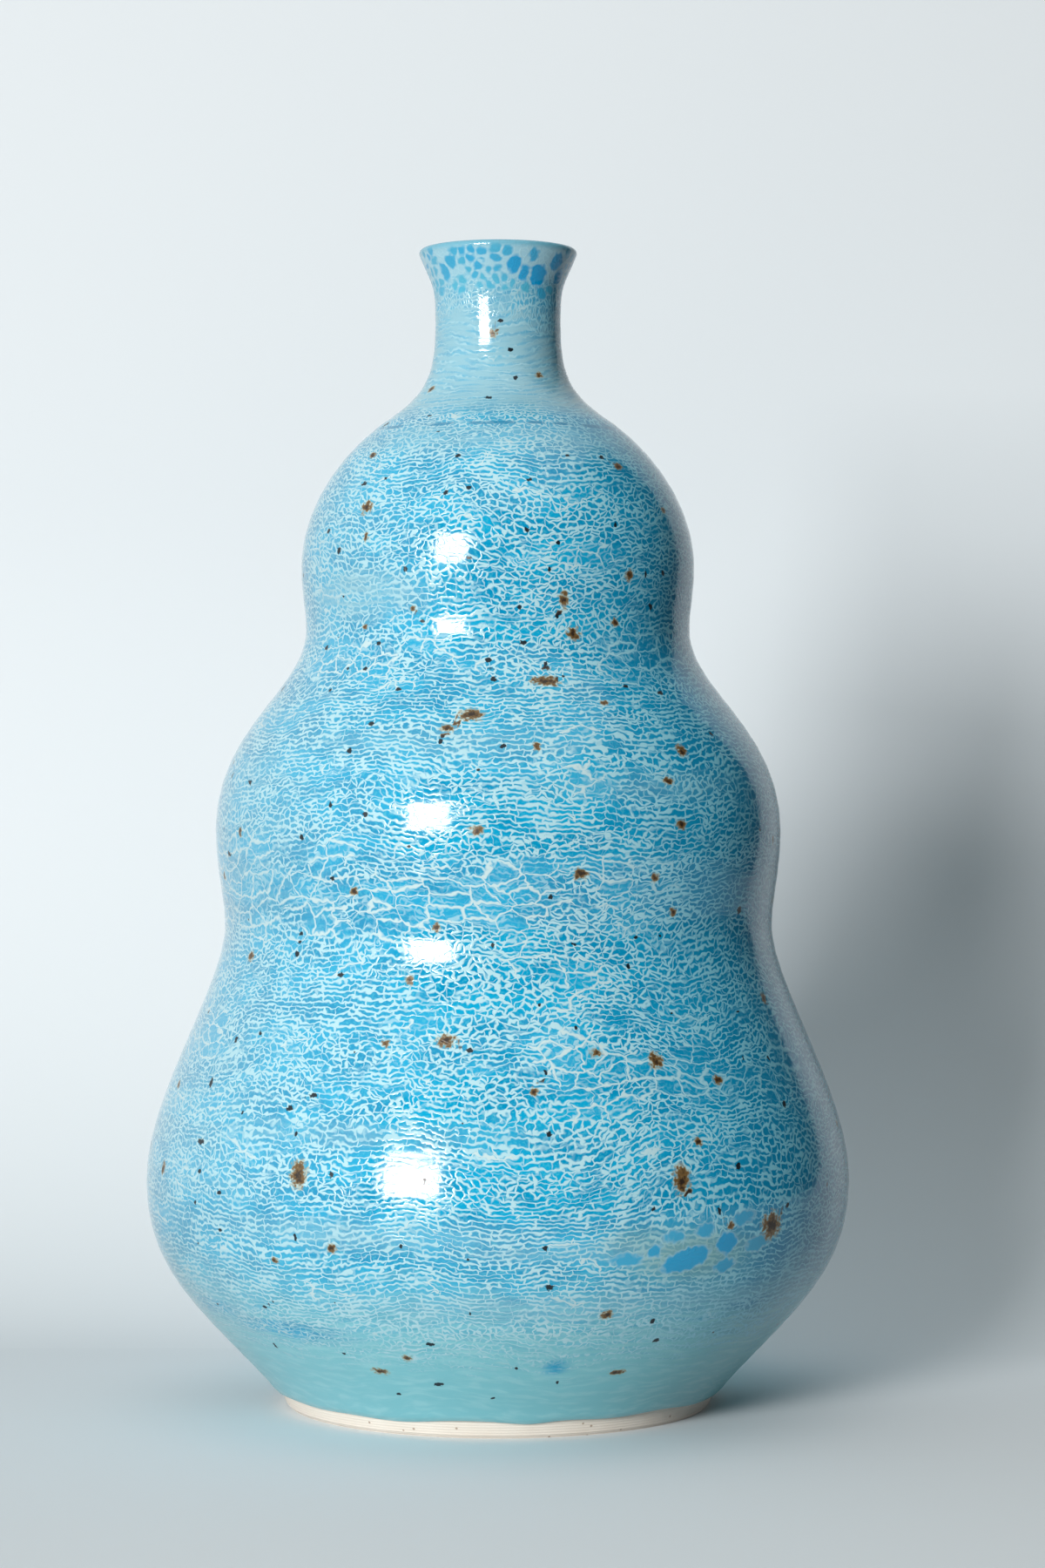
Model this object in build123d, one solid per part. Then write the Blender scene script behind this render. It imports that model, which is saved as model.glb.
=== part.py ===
from build123d import *
from build123d.topology import SkipClean
from collections import namedtuple
from itertools import accumulate
from math import radians, tan
import os

# Triple gourd bottle vase in glazed stoneware, thrown in four sections that are luted
# together with slip at the two waists and below the neck. The axis is Z, the table is z = 0.

# Outside of the finished pot, over the glaze, from the table up to the lip
foot_radius = 51.5
foot_band = 3.5  # bare clay between the table and the glaze line
foot_flare = 1.9  # how far the glaze line stands outside the foot
lower_belly_radius = 85.2
lower_belly_rise = 51.5  # from the glaze line
lower_waist_inset = 2.1  # inside the middle belly
lower_waist_rise = 61.0  # from the lower belly
middle_belly_radius = 68.5
middle_belly_rise = 22.5  # from the lower waist
upper_waist_inset = 1.1  # inside the upper belly
upper_waist_rise = 49.0  # from the middle belly
upper_belly_radius = 47.6
upper_belly_rise = 15.0  # from the upper waist
neck_joint_radius = 27.0
neck_joint_rise = 35.5  # from the upper belly
neck_radius = 15.2
neck_rise = 23.0  # from the neck joint
lip_radius = 19.1
lip_rise = 19.0  # from the narrowest place of the neck to the crest of the lip
lip_thickness = 3.0  # rounded rim, over the glaze

# Lean of the outline away from upright, outwards positive, in degrees
foot_lean = 42.0
neck_joint_lean = -55.0
lip_lean = 22.0

# Fullness of each stretch of outline: how far its two handles reach along its rise
lower_belly_shares = (0.40, 0.44)
lower_waist_shares = (0.33, 0.23)
middle_belly_shares = (0.27, 0.40)
upper_waist_shares = (0.52, 0.30)
upper_belly_shares = (0.30, 0.40)
neck_joint_shares = (0.39, 0.23)
neck_shares = (0.26, 0.57)
lip_shares = (0.62, 0.46)

# Clay thickness at each place, with the glaze off
lower_belly_wall = 5.5
lower_waist_wall = 6.0
middle_belly_wall = 5.0
upper_waist_wall = 5.5
upper_belly_wall = 4.5
neck_joint_wall = 4.5
neck_wall = 3.4
floor_thickness = 6.5
floor_flat_radius = 30.0  # level middle of the floor, before it curves up into the wall
floor_shares = (0.55, 0.55)

# Trimmed foot ring
foot_ring_width = 8.0
foot_bevel = 0.8
recess_depth = 4.0
recess_corner_share = 0.5  # rounding under the foot, of the recess depth

# Slip joints between the sections
slip_thickness = 0.6
tongue_height = 1.6  # rise of the key from the faces of the wall to its middle

# Glaze: a teal coat over the whole outside, a crackle coat over that, a liner inside
base_coat = 0.4
crackle_coat = 0.4
liner_coat = 0.5
lip_coat_share = 0.5  # both outer coats draw thin over the rim
crackle_line = 22.0  # height of the lower edge of the crackle coat

curve_steps = 8  # points along each stretch of a surface that lies under the outside

Station = namedtuple("Station", "radius height lean")
lip_bead = lip_thickness / 2
lip_coat = (base_coat + crackle_coat) * lip_coat_share


def outline_stations():
    rises = (
        foot_band,
        lower_belly_rise,
        lower_waist_rise,
        middle_belly_rise,
        upper_waist_rise,
        upper_belly_rise,
        neck_joint_rise,
        neck_rise,
        lip_rise,
    )
    heights = list(accumulate(rises))
    crest = heights.pop()
    rim = Vector(lip_radius - lip_bead, crest - lip_bead)
    lip = rim + Vector(lip_bead, 0).rotate(Axis.Z, -lip_lean)
    radii = (
        foot_radius + foot_flare,
        lower_belly_radius,
        middle_belly_radius - lower_waist_inset,
        middle_belly_radius,
        upper_belly_radius - upper_waist_inset,
        upper_belly_radius,
        neck_joint_radius,
        neck_radius,
    )
    leans = (foot_lean, 0, 0, 0, 0, 0, neck_joint_lean, 0)
    chain = [Station(*place) for place in zip(radii, heights, leans)]
    return chain + [Station(lip.X, lip.Y, lip_lean)], rim


def stretch(low, high, shares):
    rise = high.height - low.height
    low_handle = shares[0] * rise
    high_handle = shares[1] * rise
    return Bezier(
        (low.radius, low.height),
        (low.radius + low_handle * tan(radians(low.lean)), low.height + low_handle),
        (high.radius - high_handle * tan(radians(high.lean)), high.height - high_handle),
        (high.radius, high.height),
    )


def inward(curve, place):
    return (curve % place).rotate(Axis.Z, 90)


def sunk(curve, low_depth, high_depth):
    # The same stretch, moved in along its normals, with the depth eased from end to end
    points = []
    for step in range(curve_steps + 1):
        place = step / curve_steps
        eased = place * place * (3 - 2 * place)
        depth = low_depth + (high_depth - low_depth) * eased
        points.append(curve @ place + inward(curve, place) * depth)
    return Spline(points, tangents=(curve % 0, curve % 1))


def surface(curves, depths):
    return [sunk(curve, *ends) for curve, *ends in zip(curves, depths, depths[1:])]


def outer_rim(depth):
    return CenterArc(rim, lip_bead - depth, -lip_lean, 90 + lip_lean)


def inner_rim(depth):
    return CenterArc(rim, lip_bead - depth, 90, 90 - lip_lean)


def crest_line(shallow, deep):
    return Line(rim + Vector(0, lip_bead - shallow), rim + Vector(0, lip_bead - deep))


def slip_band(curve, wall):
    # A shallow chevron across the wall, so that each section keys into the next
    middle = curve @ 0 + inward(curve, 0) * (base_coat + crackle_coat + wall / 2)
    across = inward(curve, 0) * wall
    tongue = curve % 0 * tongue_height
    lower = [middle - across - tongue, middle + tongue, middle + across - tongue]
    upper = [point + curve % 0 * slip_thickness for point in reversed(lower)]
    return make_face(Polyline(*lower, *upper, close=True))


def turned(profile):
    return revolve(Plane.XZ * profile, Axis.Z, clean=False)


def above(solid, height):
    below = Cylinder(lower_belly_radius, height, align=(Align.CENTER, Align.CENTER, Align.MIN))
    with SkipClean():
        return solid - below


stations, rim = outline_stations()
fullness = (
    lower_belly_shares,
    lower_waist_shares,
    middle_belly_shares,
    upper_waist_shares,
    upper_belly_shares,
    neck_joint_shares,
    neck_shares,
    lip_shares,
)
outside = [stretch(*ends) for ends in zip(stations, stations[1:], fullness)]

# Surfaces under the outside, from the glaze line to the rim
coat_shares = [1] * (len(stations) - 1) + [lip_coat_share]
base_depths = [crackle_coat * share for share in coat_shares]
clay_depths = [(base_coat + crackle_coat) * share for share in coat_shares]
base_outside = surface(outside, base_depths)
clay_outside = surface(outside, clay_depths)

# Surfaces of the hollow, from the lower belly to the rim
walls = (
    lower_belly_wall,
    lower_waist_wall,
    middle_belly_wall,
    upper_waist_wall,
    upper_belly_wall,
    neck_joint_wall,
    neck_wall,
)
inner_depths = [base_coat + crackle_coat + wall for wall in walls]
clay_inside = surface(outside[1:], inner_depths + [lip_thickness - lip_coat])
liner_depths = [depth + liner_coat for depth in inner_depths]
liner_inside = surface(outside[1:], liner_depths + [lip_thickness])

# Floor of the hollow, curving up into the wall of the lower lobe
floor_height = recess_depth + floor_thickness
wall_foot = clay_inside[0] @ 0
bowl = Bezier(
    (floor_flat_radius, floor_height),
    (floor_flat_radius + floor_shares[0] * (wall_foot.X - floor_flat_radius), floor_height),
    (wall_foot.X, wall_foot.Y - floor_shares[1] * (wall_foot.Y - floor_height)),
    wall_foot,
)
bowl_liner = sunk(bowl, liner_coat, liner_coat)
floor = Line((0, floor_height), bowl @ 0)
floor_liner = Line((0, floor_height + liner_coat), bowl_liner @ 0)

# Underside, from the axis out over the foot ring to the glaze line
recess_radius = foot_radius - foot_ring_width
recess_corner = recess_depth * recess_corner_share
underside = [
    Line((0, recess_depth), (recess_radius - recess_corner, recess_depth)),
    CenterArc(
        (recess_radius - recess_corner, recess_depth - recess_corner),
        recess_corner,
        0,
        90,
    ),
    Polyline(
        (recess_radius, recess_depth - recess_corner),
        (recess_radius, foot_bevel),
        (recess_radius + foot_bevel, 0),
        (foot_radius - foot_bevel, 0),
        (foot_radius, foot_bevel),
        clay_outside[0] @ 0,
    ),
]

# Clay body in section, cut into its thrown sections by the three slip joints
clay = make_face(
    [Line((0, recess_depth), (0, floor_height)), floor, bowl, *clay_inside]
    + [inner_rim(lip_coat), outer_rim(lip_coat), *clay_outside, *underside]
)
bands = [
    slip_band(outside[2], lower_waist_wall),
    slip_band(outside[4], upper_waist_wall),
    slip_band(outside[6], neck_joint_wall),
]
with SkipClean():  # each stretch of outline stays a face of its own
    foot, middle, shoulder, neck = (clay - bands).faces().sort_by(Axis.Y)
    lower_seam, upper_seam, neck_seam = (clay & band for band in bands)

# Glaze coats in section
base = make_face(
    [Line(base_outside[0] @ 0, clay_outside[0] @ 0), *base_outside, *clay_outside]
    + [outer_rim(base_depths[-1]), crest_line(base_depths[-1], lip_coat), outer_rim(lip_coat)]
)
crackle = make_face(
    [Line(outside[0] @ 0, base_outside[0] @ 0), *outside, *base_outside]
    + [outer_rim(0), crest_line(0, base_depths[-1]), outer_rim(base_depths[-1])]
)
liner = make_face(
    [Line((0, floor_height), (0, floor_height + liner_coat)), floor, bowl, *clay_inside]
    + [inner_rim(lip_coat), crest_line(0, lip_coat), inner_rim(0)]
    + [*liner_inside, bowl_liner, floor_liner]
)

nodes = {
    "foot_section": turned(foot),
    "lower_seam": turned(lower_seam),
    "middle_section": turned(middle),
    "upper_seam": turned(upper_seam),
    "shoulder_section": turned(shoulder),
    "neck_seam": turned(neck_seam),
    "neck_section": turned(neck),
    "liner_glaze": turned(liner),
    "base_glaze": turned(base),
    "crackle_glaze": above(turned(crackle), crackle_line),
}

os.makedirs("parts", exist_ok=True)
for name, solid in nodes.items():
    export_step(solid, f"parts/{name}.step")
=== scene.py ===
import math
import random

import bpy
import numpy as np
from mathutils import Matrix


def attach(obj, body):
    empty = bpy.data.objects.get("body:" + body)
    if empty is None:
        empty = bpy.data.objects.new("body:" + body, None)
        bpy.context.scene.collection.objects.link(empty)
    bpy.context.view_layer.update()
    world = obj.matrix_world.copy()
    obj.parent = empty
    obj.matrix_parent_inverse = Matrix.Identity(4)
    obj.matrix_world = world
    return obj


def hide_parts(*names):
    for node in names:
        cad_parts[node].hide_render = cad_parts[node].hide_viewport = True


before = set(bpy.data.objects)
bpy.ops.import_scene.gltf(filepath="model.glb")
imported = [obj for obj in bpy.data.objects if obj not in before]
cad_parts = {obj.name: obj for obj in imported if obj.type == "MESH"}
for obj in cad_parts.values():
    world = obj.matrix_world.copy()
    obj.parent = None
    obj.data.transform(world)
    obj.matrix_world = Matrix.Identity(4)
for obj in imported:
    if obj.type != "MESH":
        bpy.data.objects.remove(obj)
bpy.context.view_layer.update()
print("frame loaded")

scene = bpy.context.scene
scene.view_settings.view_transform = "Standard"
mm = 0.001


def linearColour(hexText):
    parts = [int(hexText[i:i + 2], 16) / 255 for i in (1, 3, 5)]
    return [c / 12.92 if c <= 0.04045 else ((c + 0.055) / 1.055) ** 2.4 for c in parts] + [1.0]


def addNode(tree, kind, settings={}, inputs={}, out=0):
    # Inputs are named, or listed in the node's own order: MapRange takes value, from, from, to, to
    made = tree.nodes.new("ShaderNode" + kind)
    for name, value in settings.items():
        setattr(made, name, value)
    for key, value in inputs.items() if isinstance(inputs, dict) else enumerate(inputs):
        if isinstance(value, bpy.types.NodeSocket):
            tree.links.new(value, made.inputs[key])
        else:
            made.inputs[key].default_value = value
    return made.outputs[out] if made.outputs else None


# Settings that many nodes share
soft = {"interpolation_type": "SMOOTHSTEP"}
rgba = {"data_type": "RGBA"}
flatNoise = {"noise_dimensions": "2D"}
times = {"operation": "MULTIPLY"}
timesPlus = {"operation": "MULTIPLY_ADD"}
minus = {"operation": "SUBTRACT"}
over = {"operation": "DIVIDE"}
larger = {"operation": "MAXIMUM"}
length = {"operation": "LENGTH"}
dot = {"operation": "DOT_PRODUCT"}


def newMaterial(name):
    made = bpy.data.materials.new(name)
    made.use_nodes = True
    made.node_tree.nodes.clear()
    return made, made.node_tree


def placeInMm(tree):
    where = addNode(tree, "TexCoord", out="Object")
    return addNode(tree, "VectorMath", {"operation": "SCALE"}, {0: where, "Scale": 1 / mm})


def smoothStep(low, high, value):
    t = np.clip((value - low) / (high - low), 0, 1)
    return t * t * (3 - 2 * t)


def turnFrom(degrees, turn):
    # Angle from a place on the wall, the short way round
    return (turn - math.radians(degrees) + math.pi) % (2 * math.pi) - math.pi


def storeLayer(mesh, name, kind, values):
    field = {"FLOAT": "value", "FLOAT_VECTOR": "vector", "FLOAT_COLOR": "color"}[kind]
    layer = mesh.attributes.new(name, kind, "POINT")
    layer.data.foreach_set(field, np.ravel(values))


# Camera: level, 0.9 m from the pot, at a little over half its height
view = {
    "lens": 85.0,
    "distance": 900.8,  # mm from the axis
    "height": 154.9,  # mm above the table
    "shiftX": 0.0156,
    "shiftY": -0.0128,
}
eye = bpy.data.cameras.new("photoView")
eye.lens = view["lens"]
eye.shift_x = view["shiftX"]
eye.shift_y = view["shiftY"]
eyeObject = bpy.data.objects.new("photoView", eye)
eyeObject.location = (0, -view["distance"] * mm, view["height"] * mm)
eyeObject.rotation_euler = (math.radians(90), 0, 0)
scene.collection.objects.link(eyeObject)
scene.camera = eyeObject
print("camera set")


# The glazed outside, from the glaze line over the lip to its crest, in mm
pot = {
    # radius, height, lean outwards in degrees
    "stations": (
        (53.4, 3.5, 42.0),
        (85.2, 55.0, 0.0),
        (66.4, 116.0, 0.0),
        (68.5, 138.5, 0.0),
        (46.5, 187.5, 0.0),
        (47.6, 202.5, 0.0),
        (27.0, 238.0, -55.0),
        (15.2, 261.0, 0.0),
        (19.1, 278.5, 22.0),
    ),
    # how far each stretch's two handles reach along its rise
    "shares": (
        (0.40, 0.44),
        (0.33, 0.23),
        (0.27, 0.40),
        (0.52, 0.30),
        (0.30, 0.40),
        (0.39, 0.23),
        (0.26, 0.57),
        (0.62, 0.46),
    ),
    "crest": (17.6, 280.0),
    "lipRound": 1.1,
    "curveSteps": 120,  # points to each stretch, and round the lip
    "lipSteps": 24,
    "coat": 0.8,  # both glazes together
    "lipCoat": 0.4,
    "lipThinning": 12.0,  # how far below the crest the coat starts to thin
    "around": 360,
    "rowGap": 1.75,  # along the outline
    "fineRows": ((38.0, 54.0, 1.0), (261.0, 280.0, 0.6)),  # closer between these heights
    "lipRows": (4.0, 13),  # last stretch up to the crest, and its rows
    "hiddenGap": 9.0,  # between rows on the side against the clay
    "hiddenStart": 1.0,  # its first one, below the crest
    "wobble": 0.22,  # out of round, as thrown by hand
    # times round the pot, mm of height to a radian, start, share
    "wobbleWaves": ((2, 45.0, 0.0, 0.6), (3, -31.0, 1.0, 0.4), (5, 22.0, 2.0, 0.25)),
    "ringDepth": 0.035,  # finger rings left by throwing
    "ringGap": 5.5,
    "ringSway": (0.8, 25.0),  # radians, and mm of height to a radian
    "trueFoot": (2.0, 14.0),  # along the outline, no wobble before the first, all after the second
    "trueLip": (26.0, 8.0),  # below the crest, all before the first, none after the second
    "edgeRest": 0.3,  # dipped glaze line above the start of the outline
    "edgeWave": 0.9,  # how far it wanders
    "edgeWaves": ((3, 0.6, 0.45), (7, 2.1, 0.35), (13, 4.0, 0.3)),  # times round, start, share
    "edgeRun": (0.14, 0.10, 0.8),  # one low run at the front: angle, half width, mm lower
    "edgeReach": 9.0,  # along the outline, where the wandering has died out
    "edgeBead": (0.18, 2.2, 1.3),  # glaze gathers just above its edge: thickness, place, half width
    "edgeSteps": 5,  # rows of its rolled edge
}


def outlinePoints():
    points = []
    stretches = zip(pot["stations"], pot["stations"][1:], pot["shares"])
    for (r0, z0, lean0), (r1, z1, lean1), (low, high) in stretches:
        rise = z1 - z0
        a = (r0 + low * rise * math.tan(math.radians(lean0)), z0 + low * rise)
        b = (r1 - high * rise * math.tan(math.radians(lean1)), z1 - high * rise)
        for t in np.linspace(0, 1, pot["curveSteps"])[bool(points):]:
            u = 1 - t
            w = (u * u * u, 3 * u * u * t, 3 * u * t * t, t * t * t)
            points.append((
                w[0] * r0 + w[1] * a[0] + w[2] * b[0] + w[3] * r1,
                w[0] * z0 + w[1] * a[1] + w[2] * b[1] + w[3] * z1,
            ))
    lean = math.radians(pot["stations"][-1][2])
    size = pot["lipRound"]
    middle = (points[-1][0] - size * math.cos(lean), points[-1][1] + size * math.sin(lean))
    lift = pot["crest"][1] - (middle[1] + size)
    for t in np.linspace(-lean, math.pi / 2, pot["lipSteps"])[1:]:
        rise = lift * (t + lean) / (math.pi / 2 + lean)
        points.append((middle[0] + size * math.cos(t), middle[1] + size * math.sin(t) + rise))
    points.append(pot["crest"])
    return np.array(points)


outlineAt = outlinePoints()
runAt = np.concatenate([[0], np.cumsum(np.hypot(*np.diff(outlineAt, axis=0).T))])
slopeAt = np.gradient(outlineAt, runAt, axis=0)
slopeAt /= np.linalg.norm(slopeAt, axis=1)[:, None]
potRun = runAt[-1]  # mm of outline from glaze line to crest


def onOutline(run):
    # Radius, height and outward normal at a run along the outline, which goes straight on downwards
    below = np.minimum(run, 0)
    r = np.interp(run, runAt, outlineAt[:, 0]) + below * slopeAt[0, 0]
    z = np.interp(run, runAt, outlineAt[:, 1]) + below * slopeAt[0, 1]
    dr = np.interp(run, runAt, slopeAt[:, 0])
    dz = np.interp(run, runAt, slopeAt[:, 1])
    size = np.hypot(dr, dz)
    return r, z, dz / size, -dr / size


def runOfHeight(height):
    return np.interp(height, outlineAt[:-1, 1], runAt[:-1])


def coatRows():
    # Run along the outline and depth under it for each row of the coat: rolled edge, outside, lip
    # and back down against the clay. The third value counts the rows that show.
    coat = pot["coat"]
    lipSpan, lipCount = pot["lipRows"]
    rolls = np.linspace(0, math.pi / 2, pot["edgeSteps"] + 1)[:-1]
    outer = [coat]
    while outer[-1] < potRun - lipSpan:
        level = onOutline(outer[-1])[1]
        closer = [gap for low, high, gap in pot["fineRows"] if low < level < high]
        outer.append(outer[-1] + (closer or [pot["rowGap"]])[0])
    lip = np.linspace(outer[-1], potRun, lipCount + 1)[1:]
    runs = [coat * (1 - math.cos(a)) for a in rolls] + outer + list(lip)
    depths = [coat * (1 - math.sin(a)) for a in rolls] + [0.0] * (len(outer) + len(lip))
    visible = len(runs)
    hidden = np.arange(potRun - pot["hiddenStart"], coat, -pot["hiddenGap"])
    thinning = np.interp(hidden, [potRun - pot["lipThinning"], potRun], [coat, pot["lipCoat"]])
    runs += [potRun] + list(hidden)
    depths += [pot["lipCoat"]] + list(thinning)
    return np.array(runs)[:, None], np.array(depths)[:, None], visible


def buildGlaze():
    around = pot["around"]
    turn = np.arange(around) * 2 * math.pi / around  # 0 faces the camera, positive to its right
    runs, depths, visible = coatRows()

    # Glaze line
    waves = sum(share * np.sin(n * turn + start) for n, start, share in pot["edgeWaves"])
    at, half, drop = pot["edgeRun"]
    edge = pot["edgeRest"] + pot["edgeWave"] * waves - drop * np.exp(-((turn - at) / half) ** 2)
    run = runs + edge * (1 - smoothStep(0, pot["edgeReach"], runs))
    thick, at, half = pot["edgeBead"]
    bead = np.where(depths == 0, thick * np.exp(-((runs - at) / half) ** 2), 0)

    # Marks of throwing, left out where the coat meets the bare foot and the liner
    r, z, nr, nz = onOutline(run)
    foot = smoothStep(*pot["trueFoot"], runs)
    lip = smoothStep(*[potRun - below for below in pot["trueLip"]], runs)
    lean = sum(
        share * np.sin(n * turn + z / rise + start) for n, rise, start, share in pot["wobbleWaves"]
    )
    sway, rise = pot["ringSway"]
    rings = np.sin(2 * math.pi * run / pot["ringGap"] + sway * np.sin(turn + z / rise))
    out = foot * (1 - lip) * (pot["wobble"] * lean + pot["ringDepth"] * rings) + bead - depths
    radius = r + out * nr
    height = z + out * nz
    places = np.stack([radius * np.sin(turn), -radius * np.cos(turn), height], -1)

    rows = len(runs)
    i, j = np.meshgrid(np.arange(rows), np.arange(around), indexing="ij")
    k = (j + 1) % around
    below, above = i * around, (i + 1) % rows * around
    faces = np.stack([below + j, below + k, above + k, above + j], -1).reshape(-1, 4)
    mesh = bpy.data.meshes.new("glazeCoat")
    mesh.from_pydata((places.reshape(-1, 3) * mm).tolist(), [], faces.tolist())
    mesh.polygons.foreach_set("use_smooth", np.ones(len(faces), bool))
    layBakeMap(mesh, runs[:, 0], r.max(1), visible, rows)

    turn = np.broadcast_to(turn, run.shape)
    shared = {"turn": turn, "run": run, "radius": radius, "height": height}
    drawZones(mesh, places, shared)
    scatterSpecks(mesh, shared)
    gatherBeads(mesh, shared)
    mesh.update()
    made = bpy.data.objects.new("glazeCoat", mesh)
    scene.collection.objects.link(made)
    return made


# Flat lay-out of the coat, so that maps baked on it hold the crackle: each lobe is cut into a few
# tiles of true size, and the tiles stand on shelves of one square sheet, in mm
bakeSheet = {
    "side": 410.0,
    "gap": 3.0,
    "levels": (116.0, 187.5, 238.0),  # heights of the waists and the neck joint
    "tiles": (3, 3, 2, 1),  # round each part, from the lower lobe up to the neck
    "corners": (
        (0, 0), (180, 0), (0, 130), (180, 130), (0, 260), (146, 260), (0, 341), (152, 341),
        (180, 211),
    ),
    "hidden": (304, 341, 98, 60),  # corner and size of the side against the clay
}


def layBakeMap(mesh, runs, widest, visible, rows):
    around = pot["around"]
    cuts = [int(np.searchsorted(runs[:visible], runOfHeight(h))) for h in bakeSheet["levels"]]
    ends = [0] + cuts + [visible - 1]
    row, column = np.divmod(np.arange(rows * around), around)
    flat = np.zeros((rows * around, 4, 2))
    square = ((0, 0), (1, 0), (1, 1), (0, 1))
    corners = iter(bakeSheet["corners"])
    for low, high, tiles in zip(ends, ends[1:], bakeSheet["tiles"]):
        reach = 2 * math.pi * widest[low:high + 1].max() / tiles
        span = around // tiles
        for tile in range(tiles):
            mine = (row >= low) & (row < high) & (column // span == tile)
            left, bottom = next(corners)
            for corner, (du, dv) in enumerate(square):
                u = (column[mine] - tile * span + du) / span * reach
                v = runs[row[mine] + dv] - runs[low]
                flat[mine, corner] = np.stack([left + u, bottom + v], -1)
    back = row >= visible - 1
    left, bottom, wide, tall = bakeSheet["hidden"]
    for corner, (du, dv) in enumerate(square):
        u = left + (column[back] + du) / around * wide
        v = bottom + (row[back] - visible + 1 + dv) / (rows - visible + 1) * tall
        flat[back, corner] = np.stack([u, v], -1)
    layer = mesh.uv_layers.new(name="OFBake")
    layer.data.foreach_set("uv", ((flat + bakeSheet["gap"]) / bakeSheet["side"]).ravel())


# Where the crackle is open, brushed over, beaded or drawn out into rows, and blue brush marks below
# it: angle in degrees from the camera, height, half width and half height in mm, strength
zones = {
    "open": (
        (-30, 125, 34, 9, 0.85), (-64, 127, 24, 11, 1.0), (4, 125, 20, 8, 0.8),
        (26, 129, 15, 5, 0.6), (46, 180, 18, 6, 0.9), (-42, 180, 16, 5, 0.9), (28, 86, 26, 7, 0.8),
        (58, 84, 20, 8, 0.7), (12, 110, 13, 5, 0.6), (-70, 90, 20, 9, 0.5), (40, 208, 16, 10, 0.4),
        (-8, 178, 12, 4, 0.4),
    ),
    "brushed": (
        (-46, 195, 17, 6, 0.9), (-25, 232, 30, 4, 0.6), (25, 231, 24, 4, 0.5),
        (-34, 72, 42, 2.6, 0.5), (-30, 50, 44, 3.2, 0.6), (12, 47, 32, 2.2, 0.45),
        (-52, 58, 22, 4, 0.45), (10, 34, 60, 3, 0.4), (-20, 160, 40, 3, 0.35),
        (30, 150, 25, 3, 0.3), (-64, 62, 36, 50, 0.45), (-62, 138, 30, 32, 0.45),
        (-62, 202, 22, 24, 0.4),
    ),
    "beaded": ((31, 45, 15, 5.0, 0.7), (22, 49, 8, 3, 0.4)),
    "blue": (
        (-41, 26, 17, 2.6, 1.0), (-60, 29, 14, 2.8, 0.9), (47, 32, 13, 2.6, 0.9),
        (11, 19, 2.6, 1.7, 1.0), (120, 27, 16, 2.6, 0.9), (165, 24, 10, 2.1, 0.8),
        (-110, 29, 18, 2.6, 0.9), (-150, 22, 8, 2.1, 0.8),
    ),
    "rows": (
        (-20, 163, 70, 12, 0.9), (50, 160, 40, 9, 0.7), (-20, 44, 110, 15, 1.0),
        (50, 38, 60, 10, 0.8), (-10, 70, 70, 6, 0.7), (0, 224, 60, 6, 0.7), (-30, 100, 40, 8, 0.7),
        (0, 142, 60, 8, 0.6),
    ),
    "rowsBelow": 0.44,  # how common rows are on the two lower lobes and on the upper one
    "rowsAbove": 0.3,
    "rowsChange": (188, 200),  # heights between which that changes
    # patches scattered over the unseen side: how many, half widths, half heights
    "openBehind": (11, (14, 34), (5, 9)),
    "brushedBehind": (9, (18, 44), (2.5, 6)),
    "rowsBehind": (8, (40, 80), (7, 14)),
    "behind": ((85, 275), (35, 225), (0.5, 1.0)),  # their angles, heights and strengths
}
# The neck is brushed and in rows, less so at its upper right and under the lip; heights in mm
neck = {
    "from": (236, 242),
    "brushed": 1.2,
    "bare": 0.5,
    "bareSide": (0.1, 0.8),  # sine of the angle
    "bareFrom": (252, 262),
    "underLip": 0.35,
    "underLipFrom": (262, 266),
    "rowsEnd": (260, 264),
    "beaded": 0.85,
    "beadedFrom": (269, 273),
}


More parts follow.
